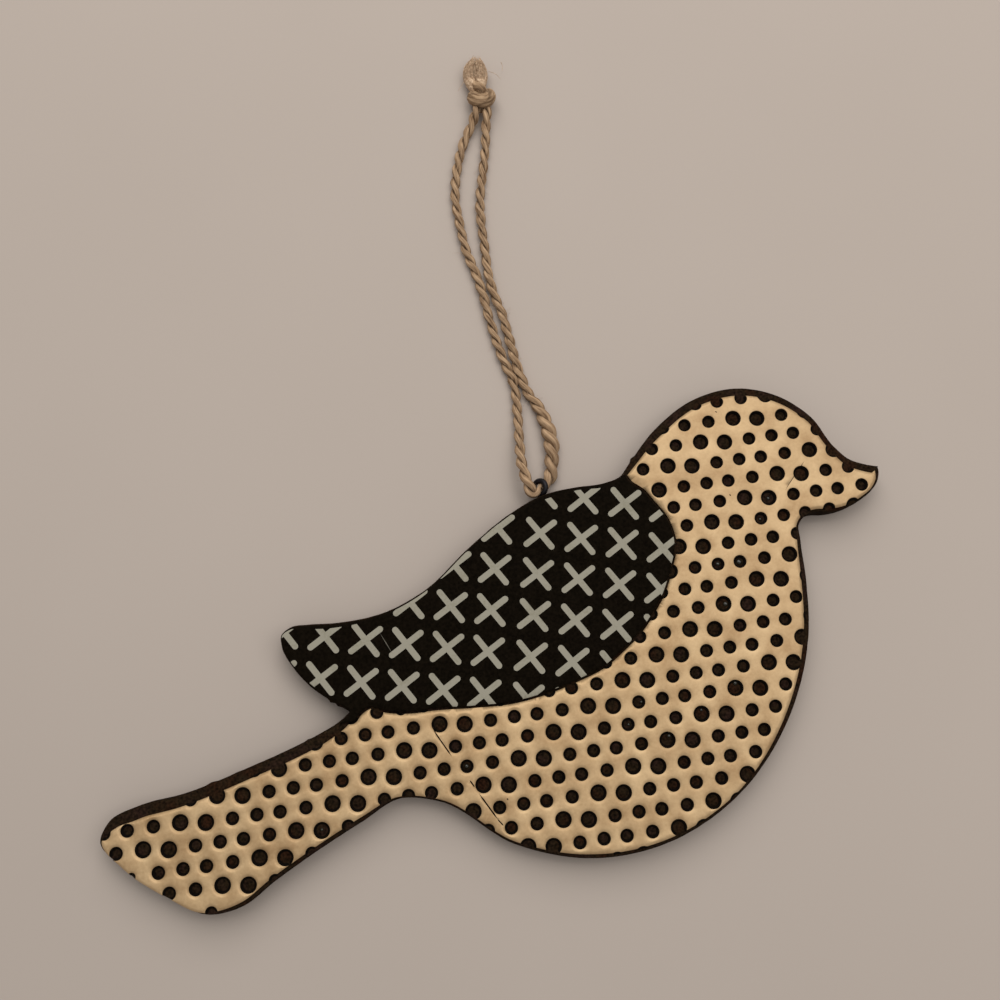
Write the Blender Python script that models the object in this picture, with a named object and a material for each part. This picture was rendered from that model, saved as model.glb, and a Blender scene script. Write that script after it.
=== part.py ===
"""Flat wooden bird ornament: black board, punched gold sheet, printed wing sheet, screw eye and twine.

The bird lies on its back: +X runs from tail to beak, +Y from belly to crown, +Z out of the decorated face.
The origin is at the middle of the board's outline, on its back. Lengths are in metres.
"""
import math

import bmesh
import bpy
from mathutils import Matrix, Vector
from mathutils.geometry import interpolate_bezier, intersect_point_line

MM = 0.001
FIT_GAP = 0.0003                # air left between pieces that touch

# Board
BOARD_LENGTH = 0.1294           # tail corner to beak tip
BOARD_HEIGHT = 0.0870           # tail's foot to crown
BOARD_THICKNESS = 0.0045
BOARD_EDGE_ROUND = 0.0004       # sanded edge

# Sheets on the board's face
SHEET_THICKNESS = 0.0004
BODY_MARGIN = 0.0010            # body sheet's edge inside the board's edge, on average
WING_MARGIN = 0.0003            # wing sheet's edge inside the board's edge
WING_SEAM = 0.0004              # gap between the two sheets

# Punched holes: rows of six, two large and four small, each row stepped back from the one above
LARGE_HOLE = 0.0027
SMALL_HOLE = 0.0022
HOLE_SIDES = 8
ROW_LENGTH = 0.024537           # one row's repeat
ROW_SPACING = 0.0034803
ROW_STEP_BACK = 0.0061765
ROW_SLOPE = math.radians(6.843)
ROW_START_X = 0.02826           # first large hole of the topmost full row
ROW_START_Y = 0.02948

# Screw eye
EYE_FROM_MIDDLE = 0.0063        # along X
EYE_WIRE = 0.0009
EYE_OUTER = 0.0034
EYE_TURN = math.radians(40)     # ring turned about its shank
EYE_SHANK_DEPTH = 0.008
ROD_SIDES = 12
RING_SIDES = 32
WIRE_SIDES = 10

# Twine
TWINE_DIAMETER = 0.0015
TWINE_IN_EYE = 0.0010           # squeezed to pass the eye's ring
TWINE_FLOOR_GAP = 0.0001        # air under the twine where it lies flat
KNOT_WIDTH = 0.0046
KNOT_HEIGHT = 0.0046
KNOT_DEPTH = 0.0036
END_LENGTH = 0.0055
END_LEAN = -0.0011              # both tips lean to the left
END_FLARE = 1.25                # frayed end's width, in twine diameters

# Colours, from the photograph
BLACK_PAINT = (0.010, 0.009, 0.007)
GOLD = (0.62, 0.45, 0.22)
WING_BLACK = (0.012, 0.011, 0.009)
EYE_BLACK = (0.008, 0.007, 0.008)
JUTE = (0.42, 0.28, 0.15)

# The outline is drawn in millimetres and then stretched to the board's length and height.
# Each run is one smooth curve; the two meet in corners at the beak's tip and the wing's pit.
BACK_RUN = (
    (64.55, 29.75), (62.31, 30.12), (59.76, 30.96), (57.07, 33.36), (53.63, 38.26), (47.84, 42.15),
    (40.99, 43.5), (33.13, 41.44), (26.29, 36.1), (21.6, 29.85), (20.2, 27.9), (17.54, 26.73),
    (12.52, 25.94), (7.21, 24.68), (1.18, 21.26), (-5.8, 15.38), (-13.1, 8.24), (-20.1, 4.47),
    (-27.64, 2.86), (-32.36, 2.56), (-35.12, 2.16), (-36.78, 0.69), (-36.61, -1.19), (-34.48, -4.76),
    (-32.18, -7.22), (-25.17, -11.76),
)
BELLY_RUN = (
    (-25.17, -11.76), (-26.63, -13.15), (-29.97, -15.25), (-33.23, -16.96), (-40.19, -20.12),
    (-52.54, -25.04), (-59.07, -26.74), (-63.39, -29.05), (-64.7, -32.16), (-61.0, -36.18),
    (-53.28, -40.96), (-46.72, -43.5), (-41.66, -42.37), (-36.22, -38.25), (-22.67, -29.22),
    (-16.56, -25.6), (-10.56, -25.97), (2.1, -32.78), (14.46, -34.99), (27.53, -32.33), (39.12, -24.58),
    (47.64, -12.15), (51.23, 0.43), (51.33, 10.0), (50.66, 17.01), (50.56, 19.65), (51.59, 20.98),
    (53.24, 21.62), (55.45, 21.72), (58.49, 22.35), (61.34, 23.9), (63.22, 25.45), (64.4, 27.2),
    (64.68, 29.05), (64.55, 29.75),
)

# The body sheet's margin along the outline: stations counted in drawn points from the beak's tip, and shares
# of the average margin. The sheet was laid on by hand, nearer to the edge round the tail's end and the belly.
BODY_MARGINS = (
    (0, 1.5), (2, 1.45), (3, 1.2), (4, 1.3), (6, 1.5), (8, 1.55), (8.5, 1.2), (9, 1.0), (10, 0.75), (11, 0.7),
    (25, 1.2), (26, 1.5), (27, 1.8), (29.5, 1.78), (30.5, 1.95), (31.3, 2.0), (32, 1.65), (32.5, 1.15),
    (33, 0.65), (34, 0.4), (35.5, 0.4), (36.3, 0.65), (37, 0.75), (39, 0.75), (40, 0.4), (41, 0.4), (42, 0.5),
    (43, 0.75), (44, 0.7), (45, 0.6), (46, 0.9), (47, 1.05), (48, 1.05), (49, 0.8), (50, 0.55), (53, 0.45),
    (56, 0.4), (57, 0.6), (58, 0.95), (59, 1.5),
)

# The line where the sheets meet, from above the neck round the wing's front and down to its pit and out.
WING_EDGE = (
    (19.6, 30.2), (21.15, 27.75), (22.09, 26.6), (22.96, 26.06), (23.93, 25.4), (25.25, 23.86),
    (28.33, 19.72), (29.23, 15.7), (28.63, 12.69), (27.93, 10.19), (26.82, 7.28), (25.41, 4.77),
    (23.3, 1.66), (19.89, -1.86), (17.08, -4.26), (12.15, -6.77), (6.53, -8.98), (1.4, -10.29),
    (-4.52, -10.89), (-11.76, -11.39), (-14.17, -11.74), (-16.98, -11.84), (-19.29, -11.64),
    (-21.6, -11.04), (-23.41, -12.29), (-24.11, -13.3), (-25.42, -13.6), (-28.13, -13.9), (-36.17, -14.1),
)
WING_SURROUND = ((-70.0, -10.0), (-70.0, 60.0), (19.0, 60.0))

# The six holes of a row: share of its repeat, and millimetres across it. The first two are the large ones.
ROW_OF_HOLES = (
    (0.0, 0.0), (0.1662, -0.475), (0.3408, -0.358), (0.5012, -0.244), (0.6535, -0.244), (0.8245, -0.101),
)
LARGE_IN_ROW = 2

# The twine's two strands from the eye up to the knot, in millimetres:
# right and up from the eye's top wire, and lift off the floor.
LEFT_STRAND = (
    (-1.75, 2.1, 2.4), (-2.5, 3.7, 1.9), (-3.0, 5.6, 1.3), (-3.35, 7.9, 0.7), (-3.55, 10.73, 0.2),
    (-3.7, 13.73, 0.0), (-4.25, 17.53, 0.0), (-6.1, 21.93, 0.0), (-8.7, 29.93, 0.0), (-9.7, 33.93, 0.0),
    (-11.0, 37.83, 0.0), (-12.7, 42.03, 0.0), (-13.9, 47.03, 0.0), (-14.8, 52.43, 0.0), (-14.4, 58.53, 0.0),
    (-13.15, 63.53, 0.1), (-11.7, 66.83, 0.5),
)
RIGHT_STRAND = (
    (2.0, 1.93, 0.2), (2.55, 3.53, 0.0), (2.7, 5.43, 0.0), (2.45, 7.83, 0.0), (1.55, 10.23, 0.0),
    (0.05, 12.83, 0.0), (-1.6, 15.53, 0.0), (-3.25, 19.43, 0.0), (-5.35, 26.93, 0.0), (-6.4, 30.63, 0.0),
    (-7.8, 34.13, 0.0), (-8.7, 37.53, 0.0), (-9.4, 42.53, 0.0), (-10.3, 52.23, 0.0), (-9.8, 57.43, 0.0),
    (-9.35, 62.33, 0.1), (-9.25, 66.53, 0.5),
)
KNOT_PLACE = (-10.1, 71.28)     # middle of the knot, right and up from the eye's top wire, in mm
STRAND_SPREAD = 0.0021          # between the strands, and between the cut ends, at the knot
LEG_LENGTH = 0.0008             # straight stretch of twine above the eye's wire


def smooth(points, steps):
    """Points on one smooth curve through the given points; the last point is left out."""
    points = [Vector(point) for point in points]
    ends = [2 * points[0] - points[1]] + points + [2 * points[-1] - points[-2]]
    slopes = []
    for before, here, after in zip(ends, points, ends[2:]):
        back, on = here - before, after - here
        slope = back * on.length / back.length + on * back.length / on.length
        slopes.append(slope / (back.length + on.length))
    curve = []
    for k in range(len(points) - 1):
        reach = (points[k + 1] - points[k]).length / 3
        first = points[k] + slopes[k] * reach
        second = points[k + 1] - slopes[k + 1] * reach
        curve += interpolate_bezier(points[k], first, second, points[k + 1], steps + 1)[:-1]
    return [Vector(point[:len(points[0])]) for point in curve]


def neighbours(loop):
    """Each point of a closed loop with the ones before and after it."""
    return zip(loop[-1:] + loop[:-1], loop, loop[1:] + loop[:1])


def distance_to(loop, point):
    """Shortest distance from a point to a closed loop."""
    shortest = math.inf
    for start, end in zip(loop, loop[1:] + loop[:1]):
        near, share = intersect_point_line(point, start, end)
        near = start if share < 0 else end if share > 1 else near
        shortest = min(shortest, (point - near.to_2d()).length)
    return shortest


def inset(loop, margins):
    """The anticlockwise loop moved inwards, without the points that the move crowds together in corners."""
    moved = []
    for (before, here, after), margin in zip(neighbours(loop), margins):
        along = (after - before).normalized()
        place = here + margin * Vector((-along.y, along.x))
        if distance_to(loop, place) > 0.98 * margin:
            moved.append(place)
    return moved


def body_margin(station):
    """The body sheet's margin at a station of the outline."""
    for (start, first), (end, last) in zip(BODY_MARGINS, BODY_MARGINS[1:]):
        if station <= end:
            return BODY_MARGIN * (first + (last - first) * (station - start) / (end - start))


def shifted(line, margin):
    """The open line moved to its left by the margin."""
    moved = []
    for before, here, after in zip(line[:1] + line[:-1], line, line[1:] + line[-1:]):
        along = (after - before).normalized()
        moved.append(here + margin * Vector((-along.y, along.x)))
    return moved


def top_edge(loop, x):
    """Height and slope of the loop's highest crossing at x."""
    crossings = []
    for start, end in zip(loop, loop[1:] + loop[:1]):
        if (start.x - x) * (end.x - x) <= 0 and start.x != end.x:
            slope = (end.y - start.y) / (end.x - start.x)
            crossings.append((start.y + slope * (x - start.x), slope))
    return max(crossings)


def keep(obj, name, collection):
    """Give an object its name and its only collection; cutters stay out of renders."""
    obj.name = name
    for old in obj.users_collection:
        old.objects.unlink(obj)
    collection.objects.link(obj)
    if collection == cutters:
        obj.hide_render = True
        obj.display_type = "WIRE"
    return obj


def as_mesh(obj):
    """Turn a curve object into a mesh object with its caps welded."""
    bpy.context.view_layer.update()
    seen = obj.evaluated_get(bpy.context.evaluated_depsgraph_get())
    mesh = bpy.data.meshes.new_from_object(seen)
    shape = bmesh.new()
    shape.from_mesh(mesh)
    bmesh.ops.remove_doubles(shape, verts=shape.verts, dist=0.000001)
    shape.to_mesh(mesh)
    shape.free()
    solid = bpy.data.objects.new(obj.name, mesh)
    solid.matrix_world = obj.matrix_world
    name, collection = obj.name, obj.users_collection[0]
    bpy.data.objects.remove(obj)
    collection.objects.link(solid)
    solid.name = name
    return solid


def plate(name, loop, bottom, thickness, collection, edge_round=0.0):
    """A flat plate: the loop filled and given its thickness, its edges rounded on request."""
    curve = bpy.data.curves.new(name, "CURVE")
    curve.dimensions = "2D"
    curve.fill_mode = "BOTH"
    curve.extrude = thickness / 2 - edge_round
    curve.bevel_depth = edge_round
    curve.bevel_resolution = 1
    curve.offset = -edge_round
    spline = curve.splines.new("POLY")
    spline.points.add(len(loop) - 1)
    for point, place in zip(spline.points, loop):
        point.co = (place.x, place.y, 0, 1)
    spline.use_cyclic_u = True
    obj = bpy.data.objects.new(name, curve)
    obj.location.z = bottom + thickness / 2
    collection.objects.link(obj)
    return as_mesh(obj)


def combine(obj, other, operation):
    """Cut, join or trim an object by another one."""
    modifier = obj.modifiers.new(other.name, "BOOLEAN")
    modifier.object = other
    modifier.operation = operation
    modifier.solver = "EXACT"


def tube(name, points, widths, collection):
    """A round tube of twine along the points; widths scale its diameter from point to point."""
    curve = bpy.data.curves.new(name, "CURVE")
    curve.dimensions = "3D"
    curve.bevel_depth = TWINE_DIAMETER / 2
    curve.bevel_resolution = 2
    curve.use_fill_caps = True
    spline = curve.splines.new("POLY")
    spline.points.add(len(points) - 1)
    for point, place, width in zip(spline.points, points, widths):
        point.co = (*place, 1)
        point.radius = width
    obj = bpy.data.objects.new(name, curve)
    collection.objects.link(obj)
    return as_mesh(obj)


def upright_rod(name, radius, low, high):
    """A rod on the eye's line, half way through the board, from one height along Y to another."""
    bpy.ops.mesh.primitive_cylinder_add(
        vertices=ROD_SIDES, radius=radius, depth=high - low, rotation=(math.pi / 2, 0, 0),
        location=(EYE_FROM_MIDDLE, (high + low) / 2, BOARD_THICKNESS / 2))
    return keep(bpy.context.object, name, cutters)


def paint(obj, name, colour, roughness, metallic=0.0):
    """Give an object its own material."""
    material = bpy.data.materials.new(name)
    material.use_nodes = True
    shader = material.node_tree.nodes["Principled BSDF"]
    shader.inputs["Base Color"].default_value = (*colour, 1)
    shader.inputs["Roughness"].default_value = roughness
    shader.inputs["Metallic"].default_value = metallic
    obj.data.materials.clear()
    obj.data.materials.append(material)


for old in list(bpy.data.objects):
    bpy.data.objects.remove(old)
parts = bpy.data.collections.new("bird_ornament")
cutters = bpy.data.collections.new("cutters")
bpy.context.scene.collection.children.link(parts)
bpy.context.scene.collection.children.link(cutters)

# The board's outline at its real size
OUTLINE_STEPS = 4
drawn = smooth(BACK_RUN, OUTLINE_STEPS) + smooth(BELLY_RUN, OUTLINE_STEPS)
left, right = min(p.x for p in drawn), max(p.x for p in drawn)
foot, crown = min(p.y for p in drawn), max(p.y for p in drawn)


def on_board(point):
    """A point of the drawing, stretched to the board's length and height."""
    x = (point[0] - (left + right) / 2) * BOARD_LENGTH / (right - left)
    y = (point[1] - (foot + crown) / 2) * BOARD_HEIGHT / (crown - foot)
    return Vector((x, y))


outline = [on_board(point) for point in drawn]
wing_edge = [on_board(point) for point in smooth(WING_EDGE, OUTLINE_STEPS) + [Vector(WING_EDGE[-1])]]
wing_surround = [on_board(point) for point in WING_SURROUND]
sheet_bottom = BOARD_THICKNESS + FIT_GAP

# Board, with the pilot hole for the eye in its top edge
board = plate("board", outline, 0, BOARD_THICKNESS, parts, BOARD_EDGE_ROUND)
edge_y, edge_slope = top_edge(outline, EYE_FROM_MIDDLE)
shank_bottom = edge_y - EYE_SHANK_DEPTH
pilot_hole = upright_rod("pilot_hole", EYE_WIRE / 2 + FIT_GAP, shank_bottom - FIT_GAP, edge_y + EYE_OUTER)
combine(board, pilot_hole, "DIFFERENCE")
paint(board, "black_painted_wood", BLACK_PAINT, 0.75)

# Wing sheet: the part of the board's face above and behind the wing's edge
half_seam = WING_SEAM / 2
CUT_OVERSHOOT = 0.001
cut_bottom = sheet_bottom - CUT_OVERSHOOT
cut_depth = SHEET_THICKNESS + 2 * CUT_OVERSHOOT
wing_area_loop = shifted(wing_edge, -half_seam) + wing_surround
wing_area = plate("wing_area", wing_area_loop, cut_bottom, cut_depth, cutters)
wing_loop = inset(outline, [WING_MARGIN] * len(outline))
wing_sheet = plate("wing_sheet", wing_loop, sheet_bottom, SHEET_THICKNESS, parts)
combine(wing_sheet, keep(wing_area, "wing_area", cutters), "INTERSECT")
paint(wing_sheet, "printed_wing", WING_BLACK, 0.6)

# Body sheet: the rest of the face, punched
body_loop = inset(outline, [body_margin(k / OUTLINE_STEPS) for k in range(len(outline))])
body_sheet = plate("body_sheet", body_loop, sheet_bottom, SHEET_THICKNESS, parts)
wing_clear_loop = shifted(wing_edge, half_seam) + wing_surround
wing_clear = plate("wing_clear", wing_clear_loop, cut_bottom, cut_depth, cutters)
combine(body_sheet, keep(wing_clear, "wing_clear", cutters), "DIFFERENCE")

along_row = Vector((math.cos(ROW_SLOPE), math.sin(ROW_SLOPE)))
across_row = Vector((-along_row.y, along_row.x))
row_start = Vector((ROW_START_X, ROW_START_Y))
reach = math.ceil((BOARD_LENGTH + BOARD_HEIGHT) / min(ROW_SPACING, ROW_LENGTH))
punches = bmesh.new()
for row in range(-reach, reach + 1):
    for repeat in range(-reach, reach + 1):
        corner = row_start + along_row * (repeat * ROW_LENGTH - row * ROW_STEP_BACK)
        corner -= across_row * (row * ROW_SPACING)
        if abs(corner.x) > BOARD_LENGTH or abs(corner.y) > BOARD_HEIGHT:
            continue
        for number, (along, across) in enumerate(ROW_OF_HOLES):
            radius = (LARGE_HOLE if number < LARGE_IN_ROW else SMALL_HOLE) / 2
            place = corner + along_row * along * ROW_LENGTH + across_row * across * MM
            if abs(place.x) > BOARD_LENGTH / 2 + radius or abs(place.y) > BOARD_HEIGHT / 2 + radius:
                continue
            at = Matrix.Translation((place.x, place.y, cut_bottom + cut_depth / 2))
            bmesh.ops.create_cone(
                punches, cap_ends=True, segments=HOLE_SIDES, radius1=radius, radius2=radius,
                depth=cut_depth, matrix=at)
punch_mesh = bpy.data.meshes.new("punches")
punches.to_mesh(punch_mesh)
punches.free()
punch_set = keep(bpy.data.objects.new("punches", punch_mesh), "punches", cutters)
combine(body_sheet, punch_set, "DIFFERENCE")
paint(body_sheet, "gold_sheet", GOLD, 0.35, 1.0)

# Screw eye: a wire ring standing on the board's top edge, its shank in the pilot hole
ring_radius = (EYE_OUTER - EYE_WIRE) / 2
edge_angle = math.atan(edge_slope)
ring_share = math.hypot(math.cos(edge_angle), math.sin(edge_angle) * math.cos(EYE_TURN))
ring_rise = (ring_radius * ring_share + EYE_WIRE / 2 + FIT_GAP) / math.cos(edge_angle)
ring_middle = Vector((EYE_FROM_MIDDLE, edge_y + ring_rise, BOARD_THICKNESS / 2))
bpy.ops.mesh.primitive_torus_add(
    major_radius=ring_radius, minor_radius=EYE_WIRE / 2, major_segments=RING_SIDES, minor_segments=WIRE_SIDES,
    location=ring_middle, rotation=(0, -EYE_TURN, 0))
screw_eye = keep(bpy.context.object, "screw_eye", parts)
shank_top = ring_middle.y - ring_radius
combine(screw_eye, upright_rod("shank", EYE_WIRE / 2, shank_bottom, shank_top), "UNION")
paint(screw_eye, "black_wire", EYE_BLACK, 0.4, 1.0)

# Hanger: the twine turns about the ring's top wire
hanger = bpy.data.objects.new("hanger_pivot", None)
hanger.location = ring_middle + Vector((0, ring_radius, 0))
parts.objects.link(hanger)
ring_normal = Vector((-math.sin(EYE_TURN), 0, math.cos(EYE_TURN)))
upward = Vector((0, 1, 0))
lying = TWINE_DIAMETER / 2 + TWINE_FLOOR_GAP - hanger.location.z
print("hinge at", tuple(round(c, 6) for c in hanger.location))


def lie(point):
    """A strand's point, from millimetres and its lift off the floor."""
    return Vector((point[0] * MM, point[1] * MM, lying + point[2] * MM))


wrap_radius = EYE_WIRE / 2 + FIT_GAP + TWINE_IN_EYE / 2
wrap = []
for turn in range(5):
    angle = -math.pi * turn / 4
    wrap.append(wrap_radius * (math.cos(angle) * ring_normal + math.sin(angle) * upward))
in_eye = [wrap[0] + LEG_LENGTH * upward] + wrap + [wrap[-1] + LEG_LENGTH * upward]
knot_lift = KNOT_DEPTH / 2 + TWINE_FLOOR_GAP - hanger.location.z
knot_middle = Vector((KNOT_PLACE[0] * MM, KNOT_PLACE[1] * MM, knot_lift))
knot_reach = KNOT_HEIGHT / 2 + FIT_GAP
spread = Vector((STRAND_SPREAD / 2, 0, 0))
left_root = knot_middle - knot_reach * upward - spread
right_root = knot_middle - knot_reach * upward + spread
route = [left_root] + [lie(point) for point in reversed(LEFT_STRAND)] + in_eye
route += [lie(point) for point in RIGHT_STRAND] + [right_root]
ROUTE_STEPS = 2
loop_points = smooth(route, ROUTE_STEPS) + [right_root]
widths = [1] * len(loop_points)
first = ROUTE_STEPS * (1 + len(LEFT_STRAND))
last = first + ROUTE_STEPS * (len(in_eye) - 1)
widths[first:last + 1] = [TWINE_IN_EYE / TWINE_DIAMETER] * (last + 1 - first)
twine_loop = tube("twine_loop", loop_points, widths, parts)

bpy.ops.mesh.primitive_uv_sphere_add(segments=16, ring_count=10, radius=0.5)
twine_knot = keep(bpy.context.object, "twine_knot", parts)
knot_shape = Matrix.Diagonal((KNOT_WIDTH, KNOT_HEIGHT, KNOT_DEPTH, 1))
twine_knot.data.transform(Matrix.Translation(knot_middle) @ knot_shape)

twine = [twine_loop, twine_knot]
for name, side in (("twine_end_left", -1), ("twine_end_right", 1)):
    root = knot_middle + knot_reach * upward + side * spread
    tip = root + END_LENGTH * upward + side * spread / 4 + Vector((END_LEAN, 0, 0))
    middle = (root + tip) / 2
    twine.append(tube(name, [root, middle, tip], [1, 1, END_FLARE], parts))
for piece in twine:
    piece.parent = hanger
    paint(piece, "jute_" + piece.name, JUTE, 0.95)
for piece in [board, wing_sheet, body_sheet, screw_eye] + twine:
    piece.data.shade_smooth()
    piece.data.set_sharp_from_angle(angle=math.radians(40))
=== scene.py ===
import math
import random

import bmesh
import bpy
import numpy as np
from mathutils import Matrix, Vector, noise
from mathutils.geometry import delaunay_2d_cdt, interpolate_bezier


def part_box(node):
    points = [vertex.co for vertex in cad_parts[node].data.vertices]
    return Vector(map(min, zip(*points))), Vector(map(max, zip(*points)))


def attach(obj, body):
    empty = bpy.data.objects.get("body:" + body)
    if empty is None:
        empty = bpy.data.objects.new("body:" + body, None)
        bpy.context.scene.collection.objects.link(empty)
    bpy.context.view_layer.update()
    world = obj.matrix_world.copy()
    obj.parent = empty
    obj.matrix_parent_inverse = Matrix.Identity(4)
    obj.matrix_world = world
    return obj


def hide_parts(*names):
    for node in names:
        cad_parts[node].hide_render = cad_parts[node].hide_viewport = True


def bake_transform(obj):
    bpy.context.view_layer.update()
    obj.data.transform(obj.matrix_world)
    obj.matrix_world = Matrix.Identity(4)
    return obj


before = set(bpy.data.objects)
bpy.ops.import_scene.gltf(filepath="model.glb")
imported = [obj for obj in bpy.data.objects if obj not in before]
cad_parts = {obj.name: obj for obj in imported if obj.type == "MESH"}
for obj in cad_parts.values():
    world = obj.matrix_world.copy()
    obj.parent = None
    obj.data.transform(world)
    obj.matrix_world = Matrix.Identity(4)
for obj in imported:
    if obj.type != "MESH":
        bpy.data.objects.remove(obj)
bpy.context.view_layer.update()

# Board. A piece of fibreboard sawn to a bird's outline, its edges sanded by hand and its whole
# surface brushed with matt black craft paint, which leaves the sawn edge a little rough.
MM = 0.001
OUTLINE_STEPS = 12
# The outline in two runs of points, which meet at the beak's tip and in the notch between wing and tail.
BACK_RUN = (
    (64.55, 29.75), (62.31, 30.12), (59.76, 30.96), (57.07, 33.36), (53.63, 38.26), (47.84, 42.15),
    (40.99, 43.5), (33.13, 41.44), (26.29, 36.1), (21.6, 29.85), (20.2, 27.9), (17.54, 26.73),
    (12.52, 25.94), (7.21, 24.68), (1.18, 21.26), (-5.8, 15.38), (-13.1, 8.24), (-20.1, 4.47),
    (-27.64, 2.86), (-32.36, 2.56), (-35.12, 2.16), (-36.78, 0.69), (-36.61, -1.19), (-34.48, -4.76),
    (-32.18, -7.22), (-25.17, -11.76),
)
BELLY_RUN = (
    (-25.17, -11.76), (-26.63, -13.15), (-29.97, -15.25), (-33.23, -16.96), (-40.19, -20.12),
    (-52.54, -25.04), (-59.07, -26.74), (-63.39, -29.05), (-64.7, -32.16), (-61.0, -36.18),
    (-53.28, -40.96), (-46.72, -43.5), (-41.66, -42.37), (-36.22, -38.25), (-22.67, -29.22),
    (-16.56, -25.6), (-10.56, -25.97), (2.1, -32.78), (14.46, -34.99), (27.53, -32.33), (39.12, -24.58),
    (47.64, -12.15), (51.23, 0.43), (51.33, 10.0), (50.66, 17.01), (50.56, 19.65), (51.59, 20.98),
    (53.24, 21.62), (55.45, 21.72), (58.49, 22.35), (61.34, 23.9), (63.22, 25.45), (64.4, 27.2),
    (64.68, 29.05), (64.55, 29.75),
)


def smooth(points, steps):
    """Points on one smooth curve through the given points; the last point is left out."""
    points = [Vector(point) for point in points]
    ends = [2 * points[0] - points[1]] + points + [2 * points[-1] - points[-2]]
    slopes = []
    for before, here, after in zip(ends, points, ends[2:]):
        back, on = here - before, after - here
        slope = back * on.length / back.length + on * back.length / on.length
        slopes.append(slope / (back.length + on.length))
    curve = []
    for k in range(len(points) - 1):
        reach = (points[k + 1] - points[k]).length / 3
        first = points[k] + slopes[k] * reach
        second = points[k + 1] - slopes[k + 1] * reach
        curve += interpolate_bezier(points[k], first, second, points[k + 1], steps + 1)[:-1]
    return [tuple(point[:len(points[0])]) for point in curve]


def inward(loop):
    """Unit normals that point into an anticlockwise loop."""
    along = np.roll(loop, -1, axis=0) - np.roll(loop, 1, axis=0)
    along /= np.linalg.norm(along, axis=1)[:, None]
    return np.c_[-along[:, 1], along[:, 0]]


def clearance(points, loop):
    """Distance from each point to a closed loop."""
    runs = np.roll(loop, -1, axis=0) - loop
    nearest = []
    for few in np.array_split(points, len(points) // 2000 + 1):
        away = few[:, None] - loop[None]
        share = np.clip((away * runs).sum(2) / (runs * runs).sum(1), 0, 1)
        nearest.append(np.linalg.norm(away - share[..., None] * runs, axis=2).min(1))
    return np.concatenate(nearest)


def inside(points, loop):
    """Which points lie within a closed loop."""
    after = np.roll(loop, -1, axis=0)
    rise = np.where(after[:, 1] == loop[:, 1], 1e-9, after[:, 1] - loop[:, 1])
    result = []
    for few in np.array_split(points, len(points) // 2000 + 1):
        x, y = few[:, :1], few[:, 1:]
        spans = (loop[:, 1] > y) != (after[:, 1] > y)
        crossing = loop[:, 0] + (y - loop[:, 1]) * (after[:, 0] - loop[:, 0]) / rise
        result.append((spans & (x < crossing)).sum(1) % 2 == 1)
    return np.concatenate(result)


drawn = np.array(smooth(BACK_RUN, OUTLINE_STEPS) + smooth(BELLY_RUN, OUTLINE_STEPS))
board_low, board_high = np.array(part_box("board")) / MM
drawn_low, drawn_high = drawn.min(0), drawn.max(0)
stretch = (board_high - board_low)[:2] / (drawn_high - drawn_low)


def on_board(points):
    """Points of the drawing, stretched to the board's length and height, in millimetres."""
    return (np.array(points) - (drawn_low + drawn_high) / 2) * stretch


outline = on_board(drawn)
board_top = board_high[2]


def ripple(x, y, z, size):
    """Smooth unevenness between -1 and 1 with bumps of about the given size in millimetres."""
    return noise.noise(Vector((x, y, z)) / size)


def colour(code):
    """A hex colour as linear red, green, blue and alpha."""
    parts = [int(code[k:k + 2], 16) / 255 for k in (1, 3, 5)]
    return tuple(c / 12.92 if c <= 0.04045 else ((c + 0.055) / 1.055) ** 2.4 for c in parts) + (1,)


def feed(tree, node, inputs):
    """Set a node's inputs to values, or link them from sockets."""
    for name, value in inputs.items():
        if isinstance(value, bpy.types.NodeSocket):
            tree.links.new(value, node.inputs[name])
        else:
            node.inputs[name].default_value = value


def add_node(tree, kind, inputs, stops=(), **settings):
    """Add one node with its settings, what feeds it, and a ramp's stops of position and hex colour."""
    made = tree.nodes.new(kind)
    for name, value in settings.items():
        setattr(made, name, value)
    for between in stops[1:-1]:
        made.color_ramp.elements.new(between[0])
    for k, (position, code) in enumerate(stops):
        made.color_ramp.elements[k].position = position
        made.color_ramp.elements[k].color = colour(code)
    feed(tree, made, inputs)
    return made


def new_material(name):
    """An empty material with its tree, its shader and the piece's own coordinates."""
    material = bpy.data.materials.new(name)
    material.use_nodes = True
    tree = material.node_tree
    shader = tree.nodes["Principled BSDF"]
    place = add_node(tree, "ShaderNodeTexCoord", {}).outputs["Object"]
    return material, tree, shader, place


def per_mm(size):
    """Texture scale that gives features of the given size in millimetres."""
    return 1 / (size * MM)


def finished(name, points, faces, materials, kinds=None, crease=40):
    """A mesh object from points in millimetres, smooth but for creases, with a material for each face."""
    mesh = bpy.data.meshes.new(name)
    places = [tuple(MM * c for c in point) for point in points]
    mesh.from_pydata(places, [], [tuple(face) for face in faces])
    for material in materials:
        mesh.materials.append(material)
    if kinds is not None:
        mesh.polygons.foreach_set("material_index", np.array(kinds, dtype=np.int32))
    mesh.validate()
    mesh.shade_smooth()
    mesh.set_sharp_from_angle(angle=math.radians(crease))
    piece = bpy.data.objects.new(name, mesh)
    bpy.context.scene.collection.objects.link(piece)
    return piece


def skin(rings, count):
    """Faces of a closed skin over rings of count points each, its first and last rings filled."""
    faces = []
    for first in range(0, (rings - 1) * count, count):
        for k in range(count):
            on = (k + 1) % count
            faces.append((first + k, first + on, first + count + on, first + count + k))
    faces.append(tuple(range(count - 1, -1, -1)))
    faces.append(tuple(range((rings - 1) * count, rings * count)))
    return faces


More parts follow.
